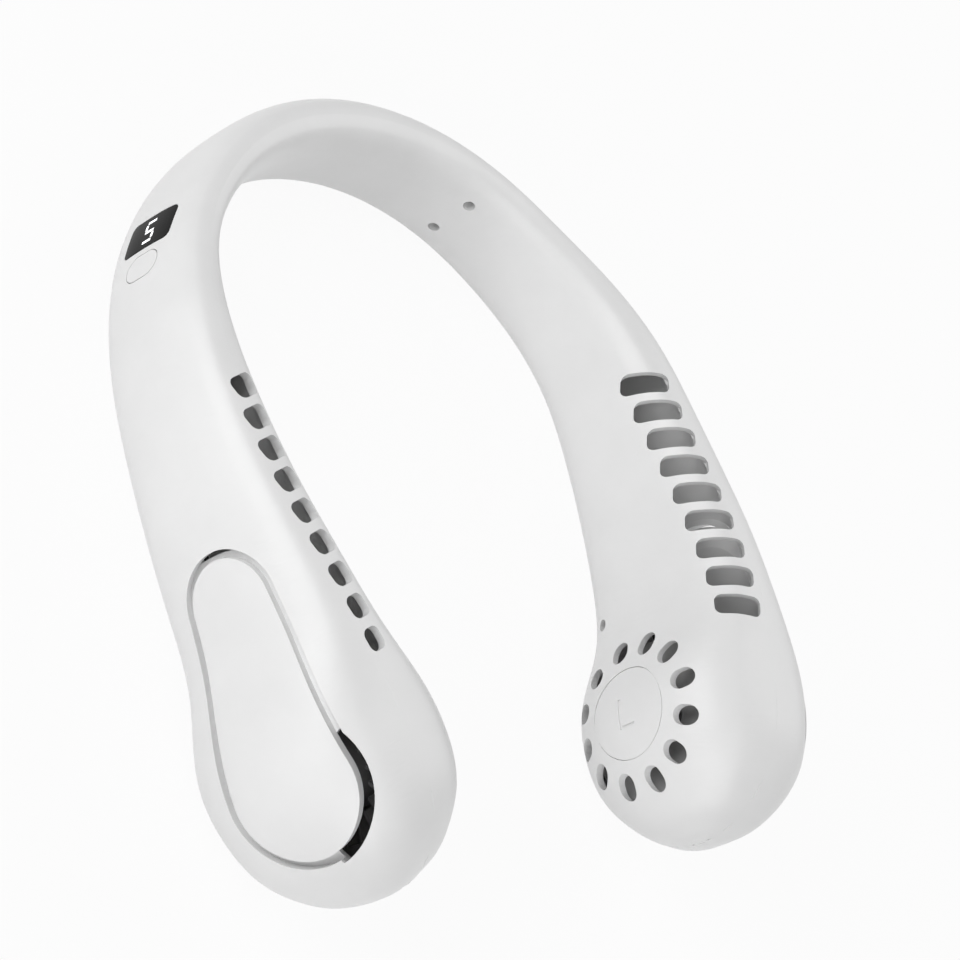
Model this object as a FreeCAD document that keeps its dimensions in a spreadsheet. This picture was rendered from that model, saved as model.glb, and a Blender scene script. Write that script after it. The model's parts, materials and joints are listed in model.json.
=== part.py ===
import FreeCAD
import Part
import Sketcher
import math
import os
import re

Vector = FreeCAD.Vector
UP = Vector(0, 0, 1)
# Keeps a straight edge between the two arcs of a round end
TINY = 0.001

# Driving sizes in millimetres and degrees, as text for the cells of the sheet
SIZES = {
    # Centreline of the band in plan: three tangent arcs from the nape to each tip
    "back_radius": "78.5",
    "back_turn": "48",
    "side_radius": "84.2",
    "side_turn": "40",
    "arm_radius": "298",
    "arm_turn": "24.2",
    # Places along the centreline, measured from the nape
    "shoulder_at": "62.5",
    "arm_at": "125",
    "throat_at": "180",
    "bulb_at": "216",
    # Height of the band at those places
    "back_height": "32.8",
    "shoulder_height": "33.2",
    "arm_height": "40.4",
    "throat_height": "52.6",
    "bulb_height": "59",
    # Thickness of the band at those places
    "back_thick": "15.2",
    "shoulder_thick": "13.2",
    "arm_thick": "20",
    "throat_thick": "27",
    "bulb_thick": "48.8",
    # Height of the lower edge above the table
    "shoulder_rise": "1.6",
    "arm_rise": "6.3",
    "throat_rise": "5.2",
    # Section shape and casing wall
    "section_power": "2.7",
    "tip_power": "2.2",
    "wall": "2",
    # Air outlet slots along the top of each arm: inward reach, and outer end at the first and last slot
    "slot_count": "9",
    "slot_first": "126.5",
    "slot_last": "194.5",
    "slot_width": "5.8",
    "slot_corner": "2",
    "slot_skew": "7",
    "slot_depth": "12",
    "left_slot_reach": "11.6",
    "left_slot_start": "-1.2",
    "left_slot_stop": "-1.2",
    "left_slot_tilt": "35",
    "right_slot_reach": "5",
    "right_slot_start": "3.2",
    "right_slot_stop": "0.8",
    "right_slot_tilt": "5",
    # Fan axis and the ring of intake holes round it
    "fan_at": "218",
    "fan_height": "27.8",
    "ring_radius": "19.1",
    "ring_count": "12",
    "ring_phase": "18",
    "hole_long": "6.6",
    "hole_wide": "5.4",
    # Cap in the middle of the ring, with its sunk side mark
    "cap_radius": "12.5",
    "cap_thick": "1.1",
    "cap_gap": "0.15",
    "mark_tall": "8.4",
    "mark_wide": "5.2",
    "mark_stroke": "0.9",
    "mark_deep": "0.5",
    # Teardrop intake cover on the outer face, drawn in a plane tilted up about the fan axis
    "cover_tilt": "21",
    "cover_big_radius": "16.6",
    "cover_small_radius": "11.5",
    "cover_length": "44.5",
    "cover_big_rise": "1.4",
    "cover_small_rise": "2.4",
    "cover_thick": "2.6",
    "cover_gap": "2.1",
    "pan_thick": "1.6",
    "pan_margin": "2",
    "pan_from": "4",
    "intake_from": "9",
    "intake_to": "118",
    "intake_lip": "1",
    "intake_under": "5",
    # Screws that join the two casing halves
    "nape_screw_at": "51",
    "nape_screw_spread": "14",
    "nape_screw_rise": "0.8",
    "arm_screw_at": "184.8",
    "arm_screw_height": "12.9",
    "screw_head_radius": "1.45",
    "screw_head_high": "1.2",
    "screw_shank_radius": "0.8",
    "screw_seat": "2.2",
    "screw_bite": "3",
    "screw_play": "0.2",
    "screw_tip_gap": "0.2",
    "boss_radius": "2.3",
    # Display window and button on the right shoulder
    "display_at": "76.4",
    "display_rise": "0.8",
    "display_long": "11.6",
    "display_tall": "17.4",
    "display_corner": "2",
    "display_thick": "1.6",
    "window_play": "0.15",
    "digit_tall": "7.6",
    "digit_wide": "3.9",
    "digit_stroke": "0.85",
    "digit_gap": "0.35",
    "button_at": "87.2",
    "button_long": "7.6",
    "button_tall": "11.4",
    "button_gap": "0.25",
    "button_flange": "0.9",
    # Circuit board and what stands on it
    "board_at": "79",
    "board_long": "24",
    "board_thick": "1.2",
    "board_face": "2.4",
    "board_low": "7.6",
    "board_top": "27.5",
    "module_long": "10",
    "module_tall": "11",
    "module_thick": "1.4",
    "switch_size": "4.5",
    "switch_thick": "0.7",
    "plunger_radius": "1.2",
    "plunger_high": "0.3",
    "port_wide": "9",
    "port_thick": "3.2",
    "port_deep": "7.2",
    "port_wall": "0.35",
    "port_play": "0.15",
    "port_inset": "0.3",
    "tongue_thick": "0.7",
    "tongue_wide": "6",
    "tongue_inset": "1",
    "socket_long": "3.5",
    "socket_high": "4",
    "socket_deep": "5.4",
    # Battery cells
    "cell_long": "36",
    "cell_tall": "15",
    "cell_thick": "4.5",
    "cell_edge": "1.2",
    "cell_low": "11.6",
    "back_cell_at": "22",
    "side_cell_at": "83",
    "cell_offset": "0.2",
    # Wires held in the casing
    "lead_radius": "0.6",
    "lead_height": "17.5",
    "lead_offset": "3.6",
    "lead_play": "0.3",
    "lead_end_gap": "0.2",
    # Wall across the duct behind the slots
    "baffle_at": "114",
    "baffle_thick": "2.4",
    "baffle_play": "0.1",
    # Motor and fan wheel, placed along the fan axis from the centreline, inward positive
    "mount_radius": "14.6",
    "mount_thick": "1.5",
    "mount_place": "14.5",
    "mount_boss_ring": "12.3",
    "mount_boss_radius": "2.4",
    "tube_radius": "3.2",
    "tube_long": "12",
    "bearing_radius": "2.2",
    "bearing_long": "10",
    "bearing_lift": "1",
    "shaft_radius": "1",
    "shaft_play": "0.04",
    "shaft_end": "0.4",
    "stator_radius": "8",
    "stator_core": "4.6",
    "stator_thick": "6",
    "stator_lift": "1",
    "stator_poles": "6",
    "pole_wide": "2.4",
    "pole_shoe": "5.4",
    "pole_root": "0.4",
    "shoe_neck": "1.6",
    "shoe_edge": "1.1",
    "shoe_back": "0.5",
    "air_gap": "0.4",
    "magnet_thick": "1.2",
    "magnet_long": "8",
    "cup_wall": "0.8",
    "cup_long": "13.5",
    "cup_lift": "2.7",
    "wheel_radius": "21.5",
    "wheel_plate": "1.2",
    "wheel_face": "14",
    "wheel_deep": "13.5",
    "wheel_rim": "3",
    "hub_wall": "1.3",
    "blade_inner": "14",
    "blade_count": "22",
    "blade_thick": "0.9",
    "blade_lag": "4",
    "blade_inset": "0.8",
    "rim_thick": "1.2",
    "tab_wide": "3",
    "tab_thick": "2.4",
    "tab_reach": "8.5",
    "tab_angle": "225",
}

doc = FreeCAD.newDocument("neck_fan")
sheet = doc.addObject("Spreadsheet::Sheet", "sizes")
for row, (alias, value) in enumerate(SIZES.items(), 1):
    sheet.set("A%d" % row, alias)
    sheet.set("B%d" % row, value)
    sheet.setAlias("B%d" % row, alias)
doc.recompute()


def size(alias):
    return float(sheet.get(alias))


def degrees(alias):
    return math.radians(size(alias))


# Shape of the band

ARCS = [
    (size("back_radius"), degrees("back_turn")),
    (size("side_radius"), degrees("side_turn")),
    (size("arm_radius"), degrees("arm_turn")),
]
TIP = sum(radius * turn for radius, turn in ARCS)
PLACES = [0, size("shoulder_at"), size("arm_at"), size("throat_at"), size("bulb_at"), TIP]
STATIONS = ["back", "shoulder", "arm", "throat", "bulb", "bulb"]
HEIGHTS = [size(name + "_height") / 2 for name in STATIONS]
THICKS = [size(name + "_thick") / 2 for name in STATIONS]
RISES = [0, size("shoulder_rise"), size("arm_rise"), size("throat_rise"), 0, 0]
WALL = size("wall")


def plan(along):
    """Point, heading angle of the centreline at a length from the nape; negative is the right arm."""
    side = 1 if along >= 0 else -1
    left = abs(along)
    x = y = angle = 0.0
    for radius, turn in ARCS:
        step = min(left / radius, turn)
        x += radius * (math.sin(angle + step) - math.sin(angle))
        y += radius * (math.cos(angle + step) - math.cos(angle))
        angle += step
        left -= step * radius
    x += left * math.cos(angle)
    y -= left * math.sin(angle)
    return side * x, y, side * angle


def blend(values, along):
    """Monotone cubic through one value per place along the arm."""
    steps = [b - a for a, b in zip(PLACES, PLACES[1:])]
    slopes = [(b - a) / step for a, b, step in zip(values, values[1:], steps)]
    ends = [0.0] * len(values)
    for i in range(1, len(values) - 1):
        if slopes[i - 1] * slopes[i] > 0:
            near = 2 * steps[i] + steps[i - 1]
            far = steps[i] + 2 * steps[i - 1]
            ends[i] = (near + far) / (near / slopes[i - 1] + far / slopes[i])
    i = 0
    while i < len(steps) - 1 and along > PLACES[i + 1]:
        i += 1
    t = (along - PLACES[i]) / steps[i]
    value = (1 + 2 * t) * (1 - t) ** 2 * values[i] + t * t * (3 - 2 * t) * values[i + 1]
    return value + steps[i] * (t * (1 - t) ** 2 * ends[i] + t * t * (t - 1) * ends[i + 1])


def section(along, inset):
    """Half height, half thickness and middle height of the band, drawn in by inset."""
    along = abs(along)
    high = blend(HEIGHTS, along)
    thick = blend(THICKS, along)
    middle = blend(RISES, along) + high
    bulb = size("bulb_at")
    past = max(0.0, (along - bulb) / (TIP - inset - bulb))
    close = max(0.0, 1 - past ** size("tip_power")) ** 0.5
    return (high - inset) * close, (thick - inset) * close, middle


def frame(along):
    """Origin on the centreline at table height, tangent and outward normal of the band."""
    x, y, angle = plan(along)
    side = 1 if along >= 0 else -1
    tangent = Vector(math.cos(angle), -math.sin(angle), 0) * side
    normal = Vector(math.sin(angle), math.cos(angle), 0)
    return Vector(x, y, 0), tangent, normal


def surface_offset(along, height, inset=0.0):
    """Distance of the outer or inner face from the centreline at a height above the table."""
    high, thick, middle = section(along, inset)
    share = min(1.0, abs(height - middle) / high)
    power = size("section_power")
    return thick * (1 - share ** power) ** (1 / power)


def power_of(value):
    return math.copysign(abs(value) ** (2 / size("section_power")), value)


def closed_section(along, inset, points=24):
    origin, tangent, normal = frame(along)
    high, thick, middle = section(along, inset)
    spots = []
    for i in range(points):
        angle = 2 * math.pi * (i + 0.5) / points
        spot = normal * (thick * power_of(math.cos(angle))) + UP * (middle + high * power_of(math.sin(angle)))
        spots.append(origin + spot)
    curve = Part.BSplineCurve()
    curve.interpolate(Points=spots, PeriodicFlag=True, Parameters=list(range(points + 1)))
    return Part.Wire([curve.toShape()])


def half_section(along, side, points=12):
    """Outer (side 1) or inner (side -1) half of the section, closed along the parting line."""
    origin, tangent, normal = frame(along)
    high, thick, middle = section(along, 0)
    spots = []
    for i in range(points + 1):
        angle = math.pi / 2 - math.pi * i / points
        out = 0.0 if i in (0, points) else thick * power_of(math.cos(angle))
        spots.append(origin + normal * (side * out) + UP * (middle + high * power_of(math.sin(angle))))
    curve = Part.BSplineCurve()
    pull = math.pi * thick / points
    curve.interpolate(Points=spots, Parameters=list(range(points + 1)), Scale=False,
                      InitialTangent=normal * (side * pull), FinalTangent=normal * (-side * pull))
    return Part.Wire([curve.toShape(), Part.LineSegment(spots[-1], spots[0]).toShape()])


def lengths(inset, start=None, spans=12):
    """Places of the loft sections, closer together as the tip rounds off."""
    bulb = size("bulb_at")
    reach = TIP - inset - bulb
    low = 0.0 if start is None else start
    places = [low + (bulb - low) * i / spans for i in range(spans + 1)]
    places += [bulb + reach * math.sin(math.radians(angle)) for angle in (20, 40, 56, 68, 76, 82, 86, 88.5)]
    if start is None:
        places = [-place for place in reversed(places[1:])] + places
    return places


def loft(wires):
    return Part.makeLoft(wires, True, False, False, 3)


def half_skin(side, spans=12, backward=False):
    places = lengths(0, None, spans)
    if backward:
        places.reverse()
    return loft([half_section(place, side) for place in places])


def body_of_band(inset, start=None, spans=12):
    return loft([closed_section(place, inset) for place in lengths(inset, start, spans)])


def mirrored(shape):
    return shape.mirror(Vector(0, 0, 0), Vector(1, 0, 0))


# Frames of the fan axes and a shift that centres the band front to back

def half_shell(side):
    """One casing half: the first loft of the skin from which the hollow cuts cleanly."""
    hollow = body_of_band(WALL)
    for spans in (12, 11, 13):
        for backward in (False, True):
            skin = half_skin(side, spans, backward)
            shell = skin.cut(hollow)
            if len(shell.Faces) > len(skin.Faces) and shell.isValid() and len(shell.Solids) == 1:
                return shell
    raise ValueError("casing half could not be hollowed")


def front_and_back():
    """Foremost and rearmost points of the band, where its plan turns across the middle line."""
    rear = size("back_thick") / 2
    front = 0.0
    steps = 200
    for i in range(steps + 1):
        along = size("bulb_at") + (TIP - size("bulb_at")) * i / steps
        origin, tangent, normal = frame(along)
        thick = section(along, 0)[1]
        front = min(front, origin.y - thick * abs(normal.y))
    return front, rear


shell_outer = half_shell(1)
shell_inner = half_shell(-1)
SHIFT = Vector(0, -sum(front_and_back()) / 2, 0)


def placed(origin, x_axis, y_axis):
    """Placement with the given axes, with the centring shift added."""
    z_axis = x_axis.cross(y_axis)
    return FreeCAD.Placement(origin + SHIFT, FreeCAD.Rotation(x_axis, y_axis, z_axis, "ZXY"))


def local(along, height):
    """Frame on the centreline: x towards the tip on the left arm, y up, z inward on both arms."""
    origin, tangent, normal = frame(along)
    x_axis = tangent if along >= 0 else tangent * -1
    return origin + UP * height, x_axis, UP


def matrix_at(along, height):
    origin, x_axis, y_axis = local(along, height)
    return FreeCAD.Placement(origin, FreeCAD.Rotation(x_axis, y_axis, x_axis.cross(y_axis), "ZXY"))


def carried(shape, along, height):
    """A shape drawn in a local frame, moved to its place on the band."""
    moved = shape.copy()
    moved.Placement = matrix_at(along, height).multiply(shape.Placement)
    return moved


def prism(wire, low, high):
    """Solid from a flat wire in the local XY plane, between two heights along local z."""
    solid = Part.Face(wire).extrude(Vector(0, 0, high - low))
    solid.translate(Vector(0, 0, low))
    return solid


def polygon(points):
    spots = [Vector(x, y, 0) for x, y in points]
    return Part.makePolygon(spots + spots[:1])


def rounded_box(long, tall, radius, x=0.0, y=0.0):
    """Rectangle with round corners, as a wire in the local XY plane."""
    a = long / 2 - radius
    b = tall / 2 - radius
    diagonal = radius * math.sqrt(0.5)
    edges = []
    for turn in range(4):
        cx, cy = ((a, b), (-a, b), (-a, -b), (a, -b))[turn]
        nx, ny = ((-a, b), (-a, -b), (a, -b), (a, b))[turn]
        start = math.pi / 2 * turn
        turns = [start + i * math.pi / 4 for i in range(3)]
        at = [(cx + radius * math.cos(angle), cy + radius * math.sin(angle)) for angle in turns]
        spots = [Vector(x + px, y + py, 0) for px, py in at]
        edges.append(Part.Arc(*spots).toShape())
        after = Vector(x + nx + radius * math.cos(start + math.pi / 2),
                       y + ny + radius * math.sin(start + math.pi / 2), 0)
        if (after - spots[2]).Length > 1e-6:
            edges.append(Part.LineSegment(spots[2], after).toShape())
    return Part.Wire(edges)


def cylinder(radius, low, high, x=0.0, y=0.0):
    return Part.makeCylinder(radius, high - low, Vector(x, y, low), UP)


PARTS = {}


def keep(label, shape):
    """A sub-part whose shape follows the band, as a feature of the document."""
    feature = doc.addObject("Part::Feature", label)
    feature.Label = label
    if shape.ShapeType == "Compound" and len(shape.Solids) == 1:
        shape = shape.Solids[0]
    feature.Shape = shape
    feature.Placement = FreeCAD.Placement(SHIFT, FreeCAD.Rotation())
    PARTS[label] = feature


def cut(shape, tools, label):
    """Cut with a check that the tools took something away and left the number of solids."""
    result = shape.cut(tools)
    if len(result.Solids) != len(shape.Solids) or len(result.Faces) == len(shape.Faces):
        raise ValueError("cut made no change: " + label)
    return result


# Teardrop outlines of the intake cover in the local frame of the fan axis

def teardrop(grow):
    """Hull of the big and the small circle, grown by an offset; x runs to the tip."""
    big = (0.0, size("cover_big_rise"), size("cover_big_radius") + grow)
    small = (-size("cover_length"), size("cover_small_rise"), size("cover_small_radius") + grow)
    dx, dy = big[0] - small[0], big[1] - small[1]
    span = math.hypot(dx, dy)
    axis = math.atan2(dy, dx)
    lean = math.acos((small[2] - big[2]) / span)

    def on(circle, angle):
        return Vector(circle[0] + circle[2] * math.cos(angle), circle[1] + circle[2] * math.sin(angle), 0)

    top = axis + lean
    low = axis - lean
    big_top, big_low = on(big, top), on(big, low)
    small_top, small_low = on(small, top), on(small, low)
    return Part.Wire([
        Part.Arc(big_low, on(big, axis), big_top).toShape(),
        Part.LineSegment(big_top, small_top).toShape(),
        Part.Arc(small_top, on(small, axis + math.pi), small_low).toShape(),
        Part.LineSegment(small_low, big_low).toShape(),
    ])


def sector(inner, outer, start, stop):
    """Part of a ring about the big circle of the cover, angles from the tip direction to up."""
    y = size("cover_big_rise")

    def on(radius, angle):
        turn = math.radians(angle)
        return Vector(radius * math.cos(turn), y + radius * math.sin(turn), 0)

    middle = (start + stop) / 2
    return Part.Wire([
        Part.Arc(on(outer, start), on(outer, middle), on(outer, stop)).toShape(),
        Part.LineSegment(on(outer, stop), on(inner, stop)).toShape(),
        Part.Arc(on(inner, stop), on(inner, middle), on(inner, start)).toShape(),
        Part.LineSegment(on(inner, start), on(outer, start)).toShape(),
    ])


FAN = (size("fan_at"), size("fan_height"))
FAR = size("bulb_thick")
BULB_START = size("arm_at")
pan_depth = size("cover_thick") + size("pan_thick")
bulb_skin = body_of_band(0, BULB_START, 7)
bulb_wall = body_of_band(WALL / 2, BULB_START, 7)
bulb_pan = body_of_band(size("cover_thick"), BULB_START, 7)
bulb_core = body_of_band(pan_depth, BULB_START, 7)


def outward_prism(wire):
    """Tilted prism out through the outer face, starting a little off the centreline."""
    tool = prism(wire, -2 * FAR, FAR)
    tool.rotate(Vector(0, 0, 0), Vector(1, 0, 0), size("cover_tilt"))
    room = prism(rounded_box(4 * FAR, 4 * FAR, WALL), -2 * FAR, -size("pan_from"))
    return carried(tool.common(room), *FAN)


def intake_recess():
    """What is added to and cut from the left outer face for the cover's recess."""
    gap = size("cover_gap")
    pan = outward_prism(teardrop(gap + size("pan_margin"))).common(bulb_wall).cut(bulb_core)
    hollow = outward_prism(teardrop(gap)).cut(bulb_pan)
    radius = size("cover_big_radius")
    opening = outward_prism(sector(radius - size("intake_under"), radius + gap + size("intake_lip"),
                                   size("intake_from"), size("intake_to")))
    return pan, hollow, opening


def intake_cover():
    plate = outward_prism(teardrop(0)).common(bulb_skin)
    return plate.cut(bulb_pan)


# Screw places as length along the left arm and height

def screw_places():
    middle = section(size("nape_screw_at"), 0)[2] + size("nape_screw_rise")
    spread = size("nape_screw_spread") / 2
    places = [(size("nape_screw_at"), middle + spread), (size("nape_screw_at"), middle - spread)]
    places.append((size("arm_screw_at"), size("arm_screw_height")))
    return places + [(-along, height) for along, height in places]


def screw_depth(along, height):
    return surface_offset(along, height)


def casing_bosses(side):
    """Posts of one casing half round every casing screw, trimmed to the skin."""
    posts = []
    for along, height in screw_places():
        depth = screw_depth(along, height)
        low, high = (0, depth - WALL / 2) if side < 0 else (-(depth - WALL / 2), 0)
        posts.append(carried(cylinder(size("boss_radius"), low, high), along, height))
    return posts


def screw_wells():
    """Clearance for head and shank in the inner half."""
    tools = []
    for along, height in screw_places():
        depth = screw_depth(along, height)
        head = cylinder(size("screw_head_radius") + size("screw_play"), size("screw_seat"), depth + WALL)
        shank = cylinder(size("screw_shank_radius") + size("screw_play"), -1, depth)
        tools.append(carried(head.fuse(shank), along, height))
    return tools


def screw_pilots():
    tools = []
    for along, height in screw_places():
        tools.append(carried(cylinder(size("screw_shank_radius"), -size("screw_bite"), 1), along, height))
    return tools


# Air slots: parallel cuts, across the arm at the last slot; the right arm carries them nearer its top

def slot_tools(side):
    """Slots of one arm: rounded boxes cut down through its upper edge."""
    count = int(size("slot_count"))
    first, last = size("slot_first"), size("slot_last")
    start, stop = size(side + "_slot_start"), size(side + "_slot_stop")
    tilt, skew = degrees(side + "_slot_tilt"), degrees("slot_skew")
    tangent, normal = frame(last)[1:]
    straight = normal * math.cos(tilt) + UP * math.sin(tilt)
    across = straight * math.cos(skew) + tangent * math.sin(skew)
    lift = UP * math.cos(tilt) - normal * math.sin(tilt)
    turn = FreeCAD.Rotation(across.cross(lift), across, lift, "ZXY")
    inner = -size(side + "_slot_reach") / math.cos(tilt)
    tools = []
    for i in range(count):
        share = i / (count - 1)
        place = first + (last - first) * share
        high, thick, middle = section(place, 0)
        outer = (start + (stop - start) * share ** 2) / math.cos(tilt)
        outline = rounded_box(size("slot_width"), outer - inner, size("slot_corner"), 0, (outer + inner) / 2)
        tool = prism(outline, -size("slot_depth"), thick)
        origin = frame(place)[0] + UP * (middle + high)
        tool.Placement = FreeCAD.Placement(origin, turn).multiply(tool.Placement)
        tools.append(tool if side == "left" else mirrored(tool))
    return tools


def ring_tools():
    """Oval intake holes round the fan axis, cut inward through the inner face."""
    half = (size("hole_long") - size("hole_wide")) / 2
    radius = size("hole_wide") / 2
    count = int(size("ring_count"))
    tools = []
    for i in range(count):
        wire = rounded_box(2 * (half + radius), 2 * radius, radius - TINY, size("ring_radius"))
        oval = prism(wire, WALL, FAR)
        oval.rotate(Vector(0, 0, 0), UP, 180 - size("ring_phase") - i * 360 / count)
        tools.append(carried(oval, *FAN))
    return tools


def hub_cap_and_seat():
    """Left cap in the middle of the intake ring, and the shallow seat for it."""
    under = body_of_band(size("cap_thick"), BULB_START, 7)
    post = carried(cylinder(size("cap_radius"), WALL, FAR), *FAN)
    seat = post.cut(under)
    disc = carried(cylinder(size("cap_radius") - size("cap_gap"), WALL, FAR), *FAN)
    cap = disc.common(bulb_skin).cut(under)
    return cap, seat


def mark_wires(letter):
    """Strokes of the side mark, its top towards the nape; R is drawn mirrored, as its cap is mirrored."""
    tall, wide, stroke = size("mark_tall"), size("mark_wide"), size("mark_stroke")
    x0, x1 = -tall / 2, tall / 2
    y0, y1 = -wide / 2, wide / 2
    stem = [(x0, y0), (x1, y0), (x1, y0 + stroke), (x0, y0 + stroke)]
    if letter == "L":
        foot = [(x1 - stroke, y0), (x1, y0), (x1, y1), (x1 - stroke, y1)]
        return [stem, foot]
    top = [(x0, y0), (x0 + stroke, y0), (x0 + stroke, y1), (x0, y1)]
    side = [(x0, y1 - stroke), (0, y1 - stroke), (0, y1), (x0, y1)]
    bar = [(-stroke, y0), (0, y0), (0, y1), (-stroke, y1)]
    leg = [(0, y0 + wide / 3), (0, y0 + wide / 3 + stroke), (x1, y1), (x1, y1 - stroke)]
    return [[(x, -y) for x, y in points] for points in (stem, top, side, bar, leg)]


def marked(cap, letter):
    under = body_of_band(size("mark_deep"), BULB_START, 7)
    for points in mark_wires(letter):
        stroke = carried(prism(polygon(points), WALL, FAR), *FAN).cut(under)
        cap = cut(cap, stroke, "side mark")
    return cap


# Display and button on the right shoulder; local z runs inward, so tools reach to negative z

DISPLAY = (-size("display_at"), section(size("display_at"), 0)[2] + size("display_rise"))
BUTTON = (-size("button_at"), section(size("button_at"), 0)[2])


def shoulder_skin(inset):
    """Short length of the right band round the display and the button."""
    start = size("shoulder_at") - size("display_long")
    stop = size("button_at") + 2 * size("button_long")
    spans = 6
    places = [-(start + (stop - start) * i / spans) for i in range(spans + 1)]
    return loft([closed_section(place, inset) for place in places])


def outer_prism(wire, place):
    return carried(prism(wire, -FAR, -1), *place)


def window_wire(grow):
    return rounded_box(size("display_long") + 2 * grow, size("display_tall") + 2 * grow,
                       size("display_corner") + grow)


def button_wire(grow):
    long = size("button_long") + 2 * grow
    return rounded_box(long, size("button_tall") + 2 * grow, long / 2 - TINY)


def segment_wires():
    """Bars of the number five, its top towards the nape; on the right arm x runs to the nape."""
    tall, wide = size("digit_tall") / 2, size("digit_wide") / 2
    stroke, gap = size("digit_stroke"), size("digit_gap")

    def bar(x_low, x_high, y_low, y_high):
        return polygon([(x_low, y_low), (x_high, y_low), (x_high, y_high), (x_low, y_high)])

    half = stroke / 2
    inset = stroke + gap
    wires = []
    for x in (tall - half, 0, -(tall - half)):
        wires.append(bar(x - half, x + half, -wide + gap, wide - gap))
    wires.append(bar(half + gap, tall - inset, -wide, -wide + stroke))
    wires.append(bar(-(tall - inset), -half - gap, wide - stroke, wide))
    return wires


def display_pieces():
    skin = shoulder_skin(0)
    under = shoulder_skin(size("display_thick"))
    window = outer_prism(window_wire(-size("window_play")), DISPLAY).common(skin).cut(under)
    bars = [outer_prism(wire, DISPLAY).common(skin).cut(under) for wire in segment_wires()]
    for bar in bars:
        window = cut(window, bar, "display segments")
    return window, Part.makeCompound(bars)


def button_piece():
    """Flush plug with a flange behind the casing wall."""
    play = size("button_gap")
    skin = shoulder_skin(0)
    behind = shoulder_skin(WALL + play)
    under = shoulder_skin(WALL + play + size("button_flange"))
    plug = outer_prism(button_wire(0), BUTTON).common(skin).cut(under)
    flange = outer_prism(button_wire(size("button_flange")), BUTTON).common(behind).cut(under)
    return plug.fuse(flange)


# The port stands against the inner face of the board
PORT_OUT = size("board_face") - size("board_thick") - size("port_thick") / 2


def port_frame():
    """Frame of the charging port: x along the band, y outward, z up."""
    origin, tangent, normal = frame(-size("board_at"))
    turn = FreeCAD.Rotation(normal.cross(UP), normal, UP, "ZXY")
    return FreeCAD.Placement(origin + normal * PORT_OUT, turn)


def port_block(grow, low, high):
    """Rounded block round the charging port between two heights."""
    wire = rounded_box(size("port_wide") + 2 * grow, size("port_thick") + 2 * grow,
                       size("port_thick") / 2 + grow - TINY)
    block = prism(wire, low, high)
    block.Placement = port_frame().multiply(block.Placement)
    return block


def port_mouth():
    """Height of the casing's lower face at the highest corner of the port."""
    edge = size("port_thick") / 2 + abs(PORT_OUT)
    power = size("section_power")
    heights = []
    for half in (-size("port_wide") / 2, size("port_wide") / 2):
        high, thick, middle = section(size("board_at") + half, 0)
        heights.append(middle - high * (1 - (edge / thick) ** power) ** (1 / power))
    return max(heights)


def port_opening():
    mouth = port_mouth()
    return port_block(size("port_play"), mouth - WALL, mouth + 2 * WALL)


# Casing halves

def outer_housing():
    pan, hollow, opening = intake_recess()
    shell = shell_outer.fuse([pan, mirrored(pan)])
    shell = shell.fuse(casing_bosses(1) + mount_bosses())
    shell = cut(shell, [hollow, mirrored(hollow)], "cover recess")
    shell = cut(shell, [opening, mirrored(opening)], "intake opening")
    shell = cut(shell, slot_tools("right"), "air slots")
    shell = cut(shell, screw_pilots() + mount_pilots(), "pilot holes")
    shell = cut(shell, outer_prism(window_wire(0), DISPLAY), "display opening")
    shell = cut(shell, outer_prism(button_wire(size("button_gap")), BUTTON), "button opening")
    return cut(shell, port_opening(), "port opening")


def inner_housing():
    seat = hub_cap_and_seat()[1]
    shell = shell_inner.fuse(casing_bosses(-1))
    shell = cut(shell, screw_wells(), "screw wells")
    shell = cut(shell, port_opening(), "port opening")
    tools = ring_tools() + [seat]
    shell = cut(shell, tools + [mirrored(tool) for tool in tools], "intake ring")
    return cut(shell, slot_tools("left") + slot_tools("right"), "air slots")


# Motor mount posts on the casing, on both fan axes

def mount_spots():
    ring = size("mount_boss_ring")
    turns = [math.radians(angle) for angle in (30, 150, 270)]
    return [(ring * math.cos(turn), ring * math.sin(turn)) for turn in turns]


def mount_bosses():
    posts = []
    for along in (FAN[0], -FAN[0]):
        for x, y in mount_spots():
            low, high = -FAR, -(size("mount_place") + size("mount_thick"))
            post = carried(cylinder(size("mount_boss_radius"), low, high, x, y), along, FAN[1])
            core = bulb_pan if along > 0 else mirrored(bulb_pan)
            posts.append(post.common(core))
    return posts


def mount_pilots():
    tools = []
    for along in (FAN[0], -FAN[0]):
        for x, y in mount_spots():
            high = -size("mount_place")
            low = high - size("mount_thick") - size("screw_bite")
            tools.append(carried(cylinder(size("screw_shank_radius"), low, high, x, y), along, FAN[1]))
    return tools


keep("outer_housing", outer_housing())
keep("inner_housing", inner_housing())
cover = intake_cover()
keep("left_intake_cover", cover)
keep("right_intake_cover", mirrored(cover))
cap = hub_cap_and_seat()[0]
keep("left_hub_cap", marked(cap, "L"))
keep("right_hub_cap", mirrored(marked(cap, "R")))
window, segments = display_pieces()
keep("display_window", window)
keep("display_segments", segments)
keep("power_button", button_piece())

# Pieces bound to the sheet

def linked(expression):
    """The expression with each size written as a reference to the sheet."""
    return re.sub(r"[a-z_]+", lambda word: "sizes." + word[0] if word[0] in SIZES else word[0], expression)


def value_of(expression):
    return float(sheet.evalExpression(expression))


def origin_item(body, role):
    return [item for item in body.Origin.OriginFeatures if item.Role == role][0]


def new_body(label, placement):
    body = doc.addObject("PartDesign::Body", label)
    body.Label = label
    body.Placement = placement
    PARTS[label] = body
    return body


def new_sketch(body, role, height="0"):
    """Sketch on an origin plane of the body, lifted off it by an expression."""
    sketch = body.newObject("Sketcher::SketchObject", body.Name + "_sketch")
    sketch.AttachmentSupport = (origin_item(body, role), [""])
    sketch.MapMode = "FlatFace"
    sketch.setExpression("AttachmentOffset.Base.z", linked(height))
    return sketch


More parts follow.
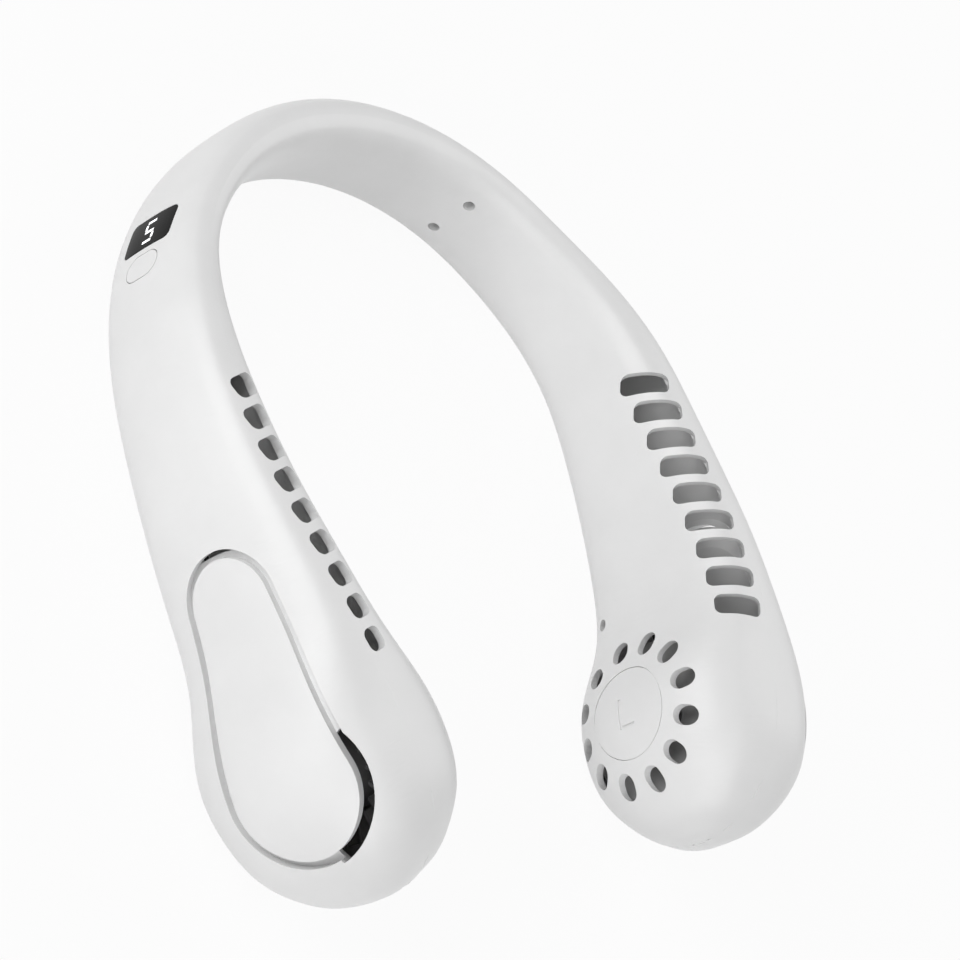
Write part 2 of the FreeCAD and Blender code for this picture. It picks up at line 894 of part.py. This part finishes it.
def draw_polygon(sketch, points):
    """Closed outline whose corners are held by expressions."""
    corners = [(value_of(x), value_of(y)) for x, y in points]
    start = sketch.GeometryCount
    count = len(points)
    for i in range(count):
        a, b = corners[i], corners[(i + 1) % count]
        sketch.addGeometry(Part.LineSegment(Vector(a[0], a[1], 0), Vector(b[0], b[1], 0)), False)
    for i in range(count):
        sketch.addConstraint(Sketcher.Constraint("Coincident", start + i, 2, start + (i + 1) % count, 1))
    for i, (x, y) in enumerate(points):
        for kind, text in (("DistanceX", x), ("DistanceY", y)):
            place = sketch.addConstraint(Sketcher.Constraint(kind, start + i, 1, value_of(text)))
            sketch.setExpression("Constraints[%d]" % place, linked(text))


def draw_circle(sketch, x, y, radius):
    middle = Vector(value_of(x), value_of(y), 0)
    ring = sketch.addGeometry(Part.Circle(middle, UP, value_of(radius)), False)
    for constraint, text in (
        (Sketcher.Constraint("Radius", ring, value_of(radius)), radius),
        (Sketcher.Constraint("DistanceX", ring, 3, middle.x), x),
        (Sketcher.Constraint("DistanceY", ring, 3, middle.y), y),
    ):
        place = sketch.addConstraint(constraint)
        sketch.setExpression("Constraints[%d]" % place, linked(text))


def rectangle(x_low, x_high, y_low, y_high):
    return [(x_low, y_low), (x_high, y_low), (x_high, y_high), (x_low, y_high)]


def turned(body, points):
    """Turned piece: an outline of radius and height, revolved about the body's z axis."""
    sketch = new_sketch(body, "XZ_Plane")
    draw_polygon(sketch, points)
    feature = body.newObject("PartDesign::Revolution", body.Name + "_turned")
    feature.Profile = sketch
    feature.ReferenceAxis = (sketch, ["V_Axis"])
    feature.Angle = 360
    doc.recompute()
    return feature


def padded(body, points, low, length):
    """Outline in the body's XY plane, padded up from a height."""
    sketch = new_sketch(body, "XY_Plane", low)
    draw_polygon(sketch, points)
    feature = body.newObject("PartDesign::Pad", body.Name + "_pad")
    feature.Profile = sketch
    feature.setExpression("Length", linked(length))
    doc.recompute()
    return feature


def repeated(body, feature, count):
    """The feature spread evenly about the body's z axis."""
    pattern = body.newObject("PartDesign::PolarPattern", body.Name + "_pattern")
    pattern.Originals = [feature]
    pattern.Axis = (origin_item(body, "Z_Axis"), [""])
    pattern.Angle = 360
    pattern.setExpression("Occurrences", linked(count))
    body.Tip = pattern
    doc.recompute()


def drilled(body, spots, radius):
    """Round holes right through the piece along its z axis."""
    sketch = new_sketch(body, "XY_Plane")
    for x, y in spots:
        draw_circle(sketch, x, y, radius)
    feature = body.newObject("PartDesign::Pocket", body.Name + "_holes")
    feature.Profile = sketch
    feature.Type = "ThroughAll"
    feature.Midplane = True
    doc.recompute()


def block(name, long, tall, thick):
    """Box centred in x, standing on y = 0 and centred in z."""
    item = doc.addObject("Part::Box", name)
    item.setExpression("Length", linked(long))
    item.setExpression("Width", linked(tall))
    item.setExpression("Height", linked(thick))
    return item


def at(item, x, y, z):
    item.setExpression("Placement.Base.x", linked(x))
    item.setExpression("Placement.Base.y", linked(y))
    item.setExpression("Placement.Base.z", linked(z))
    return item


def rod(name, radius, length, low, x="0", y="0"):
    item = doc.addObject("Part::Cylinder", name)
    item.setExpression("Radius", linked(radius))
    item.setExpression("Height", linked(length))
    return at(item, x, y, low)


def joined(kind, name, base, tool):
    item = doc.addObject(kind, name)
    item.Base = base
    item.Tool = tool
    return item


def finished(label, item, placement):
    item.Label = label
    item.Placement = placement
    PARTS[label] = item


# Motors and fan wheels

CUP = "stator_radius + air_gap + magnet_thick + cup_wall"
CUP_TOP = "tube_long + cup_lift - mount_place"
STATOR_LOW = "mount_thick + stator_lift - mount_place"
WHEEL_UNDER = "wheel_face - wheel_plate"


def add_motor(side):
    along = FAN[0] if side == "left" else -FAN[0]
    place = placed(*local(along, FAN[1]))
    turn = "tab_angle" if side == "left" else "180 - tab_angle"

    mount = new_body(side + "_motor_mount", place)
    turned(mount, [
        ("0", "-mount_place - mount_thick"), ("mount_radius", "-mount_place - mount_thick"),
        ("mount_radius", "-mount_place"), ("tube_radius", "-mount_place"),
        ("tube_radius", "tube_long - mount_place"), ("bearing_radius", "tube_long - mount_place"),
        ("bearing_radius", "-mount_place"), ("0", "-mount_place"),
    ])
    spots = [("mount_boss_ring * cos(%d)" % angle, "mount_boss_ring * sin(%d)" % angle)
             for angle in (30, 150, 270)]
    drilled(mount, spots, "screw_shank_radius + screw_play")
    inner, outer, half = "mount_radius - tab_thick / 2", "mount_radius + tab_thick / 2", "tab_wide / 2"
    corners = [("(%s)" % inner, "-" + half), ("(%s)" % outer, "-" + half),
               ("(%s)" % outer, half), ("(%s)" % inner, half)]
    tab = [("%s * cos(%s) - (%s) * sin(%s)" % (r, turn, w, turn),
            "%s * sin(%s) + (%s) * cos(%s)" % (r, turn, w, turn)) for r, w in corners]
    padded(mount, tab, "-mount_place - mount_thick", "tab_reach")

    hole = rod(side + "_bore", "shaft_radius + shaft_play", "bearing_long", "bearing_lift - mount_place")
    sleeve = rod(side + "_sleeve", "bearing_radius", "bearing_long", "bearing_lift - mount_place")
    finished(side + "_bearing", joined("Part::Cut", side + "_bearing", sleeve, hole), place)

    stator = new_body(side + "_stator", place)
    top = STATOR_LOW + " + stator_thick"
    turned(stator, [("tube_radius", STATOR_LOW), ("stator_core", STATOR_LOW),
                    ("stator_core", top), ("tube_radius", top)])
    shoe = "stator_radius - shoe_back"
    arm = padded(stator, [
        ("stator_core - pole_root", "-pole_wide / 2"), ("stator_radius - shoe_neck", "-pole_wide / 2"),
        ("stator_radius - shoe_edge", "-pole_shoe / 2"), (shoe, "-pole_shoe / 2"), (shoe, "pole_shoe / 2"),
        ("stator_radius - shoe_edge", "pole_shoe / 2"), ("stator_radius - shoe_neck", "pole_wide / 2"),
        ("stator_core - pole_root", "pole_wide / 2"),
    ], STATOR_LOW, "stator_thick")
    repeated(stator, arm, "stator_poles")

    cup = new_body(side + "_rotor_cup", place)
    under = CUP_TOP + " - cup_wall"
    turned(cup, [
        ("shaft_radius", under), (CUP + " - cup_wall", under),
        (CUP + " - cup_wall", CUP_TOP + " - cup_long"), (CUP, CUP_TOP + " - cup_long"),
        (CUP, CUP_TOP), ("shaft_radius", CUP_TOP),
    ])

    magnet = new_body(side + "_magnet_ring", place)
    inner = "stator_radius + air_gap"
    outer = inner + " + magnet_thick"
    low = STATOR_LOW + " + (stator_thick - magnet_long) / 2"
    turned(magnet, rectangle(inner, outer, low, low + " + magnet_long"))

    shaft = new_body(side + "_shaft", place)
    turned(shaft, rectangle("0", "shaft_radius", "shaft_end - mount_place", CUP_TOP + " + hub_wall"))

    wheel = new_body(side + "_impeller", place)
    floor = CUP_TOP + " + hub_wall"
    skirt = CUP_TOP + " - cup_long / 2"
    turned(wheel, [
        (CUP, skirt), (CUP + " + hub_wall", skirt), (CUP + " + hub_wall", WHEEL_UNDER),
        ("wheel_radius", WHEEL_UNDER), ("wheel_radius", "wheel_face"), (CUP, "wheel_face"), (CUP, floor),
        ("shaft_radius", floor), ("shaft_radius", CUP_TOP), (CUP, CUP_TOP),
    ])
    low = WHEEL_UNDER + " - wheel_deep"
    turned(wheel, rectangle("wheel_radius - wheel_rim", "wheel_radius", low, low + " + rim_thick"))
    blade = padded(wheel, [
        ("blade_inner", "0"), ("wheel_radius - blade_inset", "blade_lag"),
        ("wheel_radius - blade_inset", "blade_lag + blade_thick"), ("blade_inner", "blade_thick"),
    ], low, "wheel_deep")
    repeated(wheel, blade, "blade_count")


for side in ("left", "right"):
    add_motor(side)


# Screws

def screw(depth):
    """One screw along local z, its head facing inward from a seat height."""
    head = cylinder(size("screw_head_radius"), depth, depth + size("screw_head_high"))
    slot = cylinder(size("screw_head_radius") / 2, depth + size("screw_head_high") / 2,
                    depth + size("screw_head_high"))
    return head.cut(slot)


def casing_screws():
    screws = []
    for along, height in screw_places():
        tip = size("screw_tip_gap") - size("screw_bite")
        shank = cylinder(size("screw_shank_radius"), tip, size("screw_seat"))
        screws.append(carried(shank.fuse(screw(size("screw_seat"))), along, height))
    return Part.makeCompound(screws)


def motor_screws():
    screws = []
    for along in (FAN[0], -FAN[0]):
        for x, y in mount_spots():
            seat = -size("mount_place")
            tip = seat - size("mount_thick") - size("screw_bite") + size("screw_tip_gap")
            shank = cylinder(size("screw_shank_radius"), tip, seat)
            whole = shank.fuse(screw(seat))
            whole.translate(Vector(x, y, 0))
            screws.append(carried(whole, along, FAN[1]))
    return Part.makeCompound(screws)


keep("housing_screws", casing_screws())
keep("mount_screws", motor_screws())

# Battery cells

for label, along in (
    ("back_left_cell", size("back_cell_at")),
    ("back_right_cell", -size("back_cell_at")),
    ("left_side_cell", size("side_cell_at")),
):
    pouch = block(label + "_block", "cell_long", "cell_tall", "cell_thick")
    at(pouch, "-cell_long / 2", "0", "cell_offset - cell_thick / 2")
    doc.recompute()
    eased = doc.addObject("Part::Fillet", label)
    eased.Base = pouch
    eased.Edges = [(i + 1, size("cell_edge"), size("cell_edge")) for i in range(len(pouch.Shape.Edges))]
    finished(label, eased, placed(*local(along, size("cell_low"))))

# Circuit board, in a frame on the right shoulder: x to the nape, y up, z inward

BOARD = placed(*local(-size("board_at"), 0))
BOARD_OUT = "-board_face"
board = new_body("main_board", BOARD)
outline = rectangle("-board_long / 2", "board_long / 2", "board_low", "board_top")
padded(board, outline, BOARD_OUT, "board_thick")
SOCKET_LOW = "lead_height - socket_high / 2"
SOCKET_TOP = "lead_height + socket_high / 2"
for low, high in (("board_long / 2 - socket_long", "board_long / 2"),
                  ("-board_long / 2", "socket_long - board_long / 2")):
    padded(board, rectangle(low, high, SOCKET_LOW, SOCKET_TOP), "board_thick - board_face", "socket_deep")

DISPLAY_X = "board_at - display_at"
MODULE_Y = "%.6f" % DISPLAY[1]
module = new_body("display_module", BOARD)
padded(module, rectangle(DISPLAY_X + " - module_long / 2", DISPLAY_X + " + module_long / 2",
                         MODULE_Y + " - module_tall / 2", MODULE_Y + " + module_tall / 2"),
       "-board_face - module_thick", "module_thick")

base = block("switch_base", "switch_size", "switch_size", "switch_thick")
BUTTON_X = "board_at - button_at"
at(base, BUTTON_X + " - switch_size / 2", "%.6f - switch_size / 2" % BUTTON[1], "-board_face - switch_thick")
plunger = rod("switch_plunger", "plunger_radius", "plunger_high + switch_thick",
              "-board_face - switch_thick - plunger_high", BUTTON_X, "%.6f" % BUTTON[1])
finished("button_switch", joined("Part::Fuse", "button_switch", base, plunger), BOARD)

# Charging port

mouth = port_mouth() + size("port_inset")
inner_end = mouth + size("port_deep") - size("port_wall")
port_shell = port_block(0, mouth, mouth + size("port_deep"))
port_hollow = port_block(-size("port_wall"), mouth - size("port_inset"), inner_end)
half_wide, half_thick = size("tongue_wide") / 2, size("tongue_thick") / 2
tongue = prism(polygon([(-half_wide, -half_thick), (half_wide, -half_thick),
                        (half_wide, half_thick), (-half_wide, half_thick)]),
               mouth + size("tongue_inset"), inner_end + size("port_wall") / 2)
tongue.Placement = port_frame().multiply(tongue.Placement)
keep("charging_port", cut(port_shell, port_hollow, "port hollow").fuse(tongue))


# Wires: arcs beside the cells, then a straight run along the arm to the motor mount

def lead_spot(along):
    origin, tangent, normal = frame(along)
    return origin - normal * size("lead_offset") + UP * size("lead_height")


def lead(start, side):
    """Round wire from a length along the band to the tab of the motor mount on one side."""
    bends = [0.0]
    for radius, turn in ARCS[:2]:
        bends.append(bends[-1] + radius * turn)
    marks = sorted({side * bend for bend in bends} | {-side * bend for bend in bends})
    stops = [start] + [mark for mark in (marks if side > 0 else marks[::-1]) if side * (mark - start) > 1e-6]
    edges = []
    for a, b in zip(stops, stops[1:]):
        edges.append(Part.Arc(lead_spot(a), lead_spot((a + b) / 2), lead_spot(b)).toShape())
    last = stops[-1]
    heading = frame(last)[1]
    tab = matrix_at(side * FAN[0], FAN[1])
    turn = degrees("tab_angle") if side > 0 else math.pi - degrees("tab_angle")
    reach = size("mount_radius")
    target = tab.multVec(Vector(reach * math.cos(turn), reach * math.sin(turn), 0))
    run = (target - lead_spot(last)).dot(heading) - size("tab_wide") / 2 - 2 * size("lead_end_gap")
    edges.append(Part.LineSegment(lead_spot(last), lead_spot(last) + heading * run).toShape())
    path = Part.Wire(edges)
    ring = Part.Wire([Part.Circle(path.Vertexes[0].Point, frame(start)[1], size("lead_radius")).toShape()])
    return path.makePipeShell([ring], True, False)


socket_reach = size("board_long") / 2 + size("lead_end_gap")
keep("left_motor_lead", lead(socket_reach - size("board_at"), 1))
keep("right_motor_lead", lead(-socket_reach - size("board_at"), -1))


# Walls across the air ducts

def baffle(side):
    inset = WALL + size("baffle_play")
    half = size("baffle_thick") / 2
    places = [side * (size("baffle_at") - half), side * (size("baffle_at") + half)]
    wall = Part.makeLoft([closed_section(place, inset) for place in places], True, True)
    middle = side * size("baffle_at")
    heading = frame(middle)[1]
    hole = Part.makeCylinder(size("lead_radius") + size("lead_play"), 6 * half,
                             lead_spot(middle) - heading * (3 * half), heading)
    return cut(wall, hole, "lead hole")


keep("left_air_baffle", baffle(1))
keep("right_air_baffle", baffle(-1))

# Checks before anything is written

doc.recompute()
for item in doc.Objects:
    if "Invalid" in item.State or "Error" in item.State:
        raise ValueError("failed object: " + item.Name)
for label, item in PARTS.items():
    if item.Shape.isNull() or not item.Shape.isValid():
        raise ValueError("bad shape: " + label)

os.makedirs("parts", exist_ok=True)
for label, item in PARTS.items():
    item.Shape.exportStep("parts/%s.step" % label)
    print(label, len(item.Shape.Solids), "solids", round(item.Shape.Volume, 1), "mm3")
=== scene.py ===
import json
import math

import bpy
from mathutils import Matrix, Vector


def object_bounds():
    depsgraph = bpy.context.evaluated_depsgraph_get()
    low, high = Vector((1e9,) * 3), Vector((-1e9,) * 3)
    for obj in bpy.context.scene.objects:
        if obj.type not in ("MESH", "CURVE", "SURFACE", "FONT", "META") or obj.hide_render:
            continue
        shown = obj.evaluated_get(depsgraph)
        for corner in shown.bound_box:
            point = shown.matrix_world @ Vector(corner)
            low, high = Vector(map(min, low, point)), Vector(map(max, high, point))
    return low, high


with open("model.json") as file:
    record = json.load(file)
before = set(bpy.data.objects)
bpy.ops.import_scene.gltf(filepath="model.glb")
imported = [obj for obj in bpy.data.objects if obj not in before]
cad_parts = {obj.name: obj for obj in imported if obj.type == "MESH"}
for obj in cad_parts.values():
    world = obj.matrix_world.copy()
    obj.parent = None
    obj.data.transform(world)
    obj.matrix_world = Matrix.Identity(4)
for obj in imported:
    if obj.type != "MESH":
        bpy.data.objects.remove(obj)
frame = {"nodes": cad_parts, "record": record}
cad_box = [list(corner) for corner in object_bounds()]

# Camera at the angle of the photograph, in metres and degrees
CAMERA_AT = (-0.62696, -0.19062, 0.58281)
CAMERA_TURN = (28.215, -43.551, -21.516)
CAMERA_VIEW = 16.232
CAMERA_CLIP = 0.01

# Lamps: place in metres and power in watts, all of one size and aimed at the middle of the arms
LAMPS = {
    "near": ((-0.9, 0.5, 0.6), 7.6),
    "front": ((-0.55, -0.95, 0.5), 5.1),
    "far": ((0.9, 0.1, 0.7), 4.1),
}
LAMP_SIZE = 0.9
LAMP_AIM = (0, -0.06, 0.03)
SKY = 0.25

# Floor: side and drop below the part in metres, and how far its own glow covers the shadow on it
FLOOR_SIZE = 6.0
FLOOR_DROP = 0.0005
FLOOR_GLOW = 0.93

# Noise in the materials: detail, the part of its range that colours use, and the fine grain
NOISE_DETAIL = 3.0
RAMP_FROM = 0.3
RAMP_TO = 0.7
GRAIN_SCALE = 900.0
GRAIN_DEPTH = 0.0002

WHITE = (1, 1, 1, 1)


def socket(node, name, value):
    """Set one input of a node."""
    node.inputs[name].default_value = value


def new_material(name):
    """New material with its nodes, links and main shader."""
    material = bpy.data.materials.new(name)
    material.use_nodes = True
    nodes = material.node_tree.nodes
    return material, nodes, material.node_tree.links, nodes["Principled BSDF"]


def noise(nodes, links, scale):
    """Noise in the object's own frame."""
    place = nodes.new("ShaderNodeTexCoord")
    texture = nodes.new("ShaderNodeTexNoise")
    socket(texture, "Scale", scale)
    socket(texture, "Detail", NOISE_DETAIL)
    links.new(place.outputs["Object"], texture.inputs["Vector"])
    return texture.outputs["Fac"]


def ramp(nodes, links, factor, low, high):
    """Two colours spread over the middle of a noise."""
    node = nodes.new("ShaderNodeValToRGB")
    node.color_ramp.elements[0].position = RAMP_FROM
    node.color_ramp.elements[1].position = RAMP_TO
    node.color_ramp.elements[0].color = (*low, 1)
    node.color_ramp.elements[1].color = (*high, 1)
    links.new(factor, node.inputs["Fac"])
    return node.outputs["Color"]


def spread(nodes, links, factor, low, high):
    """A number that follows a noise between two limits."""
    node = nodes.new("ShaderNodeMapRange")
    socket(node, "To Min", low)
    socket(node, "To Max", high)
    links.new(factor, node.inputs["Value"])
    return node.outputs["Result"]


def surface(name, low, high, rough, metal=0.0, scale=60.0, bump=0.0, specular=0.5):
    """Plain surface: colour and roughness vary a little, with an optional fine grain."""
    material, nodes, links, shader = new_material(name)
    cloud = noise(nodes, links, scale)
    links.new(ramp(nodes, links, cloud, low, high), shader.inputs["Base Color"])
    links.new(spread(nodes, links, cloud, rough[0], rough[1]), shader.inputs["Roughness"])
    socket(shader, "Metallic", metal)
    socket(shader, "Specular IOR Level", specular)
    if bump:
        grain = nodes.new("ShaderNodeBump")
        socket(grain, "Strength", bump)
        socket(grain, "Distance", GRAIN_DEPTH)
        links.new(noise(nodes, links, GRAIN_SCALE), grain.inputs["Height"])
        links.new(grain.outputs["Normal"], shader.inputs["Normal"])
    return material


def lit(name, low, high, strength, scale):
    """Surface that gives off its own light, a little uneven."""
    material, nodes, links, shader = new_material(name)
    colour = ramp(nodes, links, noise(nodes, links, scale), low, high)
    links.new(colour, shader.inputs["Base Color"])
    links.new(colour, shader.inputs["Emission Color"])
    socket(shader, "Emission Strength", strength)
    return material


def grey(value):
    return (value, value, value)


# Look of each material slot: two colours, then the range of roughness
LOOKS = {
    "white_shell": surface("white_satin", grey(0.83), grey(0.86), (0.36, 0.44), bump=0.04),
    "black_window": surface("black_glass", grey(0.002), grey(0.004), (0.12, 0.18), specular=0.05),
    "lit_segment": lit("lit_segment", (0.92, 0.94, 1.0), grey(1.0), strength=1.0, scale=400.0),
    "steel": surface("steel", grey(0.5), grey(0.62), (0.25, 0.4), metal=1.0, scale=300.0),
    # Grey of the fan's inner plastic parts, set lower so the view into the intake and slots reads
    # dark: partly the plastic's own grey, partly painted shade
    "fan_grey": surface("fan_grey", grey(0.42), grey(0.48), (0.4, 0.5), bump=0.05),
    "magnet_dark": surface("magnet", grey(0.03), grey(0.06), (0.5, 0.6), metal=0.3),
    "copper_winding": surface("copper", (0.5, 0.2, 0.08), (0.75, 0.38, 0.18), (0.3, 0.45),
                              metal=0.9, scale=900.0),
    "bronze": surface("bronze", (0.4, 0.26, 0.1), (0.55, 0.38, 0.18), (0.35, 0.5), metal=0.9),
    "cell_foil": surface("cell_foil", (0.5, 0.51, 0.54), (0.66, 0.67, 0.7), (0.25, 0.4),
                         metal=0.7, bump=0.1),
    "board_green": surface("board_green", (0.01, 0.1, 0.04), (0.02, 0.18, 0.07), (0.35, 0.45),
                           scale=400.0),
    "module_dark": surface("module_dark", grey(0.012), grey(0.03), (0.35, 0.5)),
    "lead_black": surface("lead_sheath", grey(0.01), grey(0.025), (0.5, 0.65)),
}

# Every node takes the look of its material slot
for part in frame["record"]["subparts"]:
    mesh = frame["nodes"][part["node"]].data
    mesh.materials.clear()
    mesh.materials.append(LOOKS[part["material_slot"]])


# Rays that see the background as it looks: direct ones, reflections and those through glass

def background_rays(nodes, links, share):
    """A factor that is the given share for those rays, and nothing for light on the part."""
    path = nodes.new("ShaderNodeLightPath")
    total = path.outputs["Is Camera Ray"]
    for ray in ("Is Glossy Ray", "Is Transmission Ray"):
        add = nodes.new("ShaderNodeMath")
        add.operation = "ADD"
        add.use_clamp = True
        links.new(total, add.inputs[0])
        links.new(path.outputs[ray], add.inputs[1])
        total = add.outputs["Value"]
    scaled = nodes.new("ShaderNodeMath")
    scaled.operation = "MULTIPLY"
    scaled.inputs[1].default_value = share
    links.new(total, scaled.inputs[0])
    return scaled.outputs["Value"]


# Floor, near white to those rays with a faint shadow of the part, and pale to every other ray

def floor_look():
    """Pale floor with a white glow for those rays."""
    material, nodes, links, shader = new_material("floor_white")
    colour = ramp(nodes, links, noise(nodes, links, 2.0), grey(0.8), grey(0.82))
    links.new(colour, shader.inputs["Base Color"])
    socket(shader, "Roughness", 0.9)
    glow = nodes.new("ShaderNodeEmission")
    socket(glow, "Color", WHITE)
    socket(glow, "Strength", 1.0)
    mix = nodes.new("ShaderNodeMixShader")
    links.new(background_rays(nodes, links, FLOOR_GLOW), mix.inputs["Fac"])
    links.new(shader.outputs["BSDF"], mix.inputs[1])
    links.new(glow.outputs["Emission"], mix.inputs[2])
    links.new(mix.outputs["Shader"], nodes["Material Output"].inputs["Surface"])
    return material


bpy.ops.mesh.primitive_plane_add(size=FLOOR_SIZE, location=(0, 0, cad_box[0][2] - FLOOR_DROP))
floor = bpy.context.object
floor.name = "floor"
floor.data.materials.append(floor_look())


# Soft light all round and three large lamps: beside the near arm, in front and beside the far arm

def area(name, at, power):
    """Square lamp that faces the aim."""
    data = bpy.data.lights.new(name, "AREA")
    data.energy = power
    data.size = LAMP_SIZE
    lamp = bpy.data.objects.new(name, data)
    lamp.location = at
    lamp.rotation_euler = (Vector(LAMP_AIM) - Vector(at)).to_track_quat("-Z", "Y").to_euler()
    bpy.context.scene.collection.objects.link(lamp)


def sky():
    """White world, soft as a light and plain white where it is seen."""
    world = bpy.data.worlds.new("studio")
    bpy.context.scene.world = world
    world.use_nodes = True
    nodes, links = world.node_tree.nodes, world.node_tree.links
    soft = nodes["Background"]
    socket(soft, "Color", WHITE)
    socket(soft, "Strength", SKY)
    seen = nodes.new("ShaderNodeBackground")
    socket(seen, "Color", WHITE)
    socket(seen, "Strength", 1.0)
    mix = nodes.new("ShaderNodeMixShader")
    links.new(background_rays(nodes, links, 1.0), mix.inputs["Fac"])
    links.new(soft.outputs["Background"], mix.inputs[1])
    links.new(seen.outputs["Background"], mix.inputs[2])
    links.new(mix.outputs["Shader"], nodes["World Output"].inputs["Surface"])


for lamp_name, (place, power) in LAMPS.items():
    area(lamp_name, place, power)
sky()

# Camera
lens = bpy.data.cameras.new("camera")
lens.angle = math.radians(CAMERA_VIEW)
lens.clip_start = CAMERA_CLIP
camera = bpy.data.objects.new("camera", lens)
camera.location = CAMERA_AT
camera.rotation_euler = [math.radians(turn) for turn in CAMERA_TURN]
bpy.context.scene.collection.objects.link(camera)
bpy.context.scene.camera = camera
bpy.context.scene.view_settings.view_transform = "Standard"
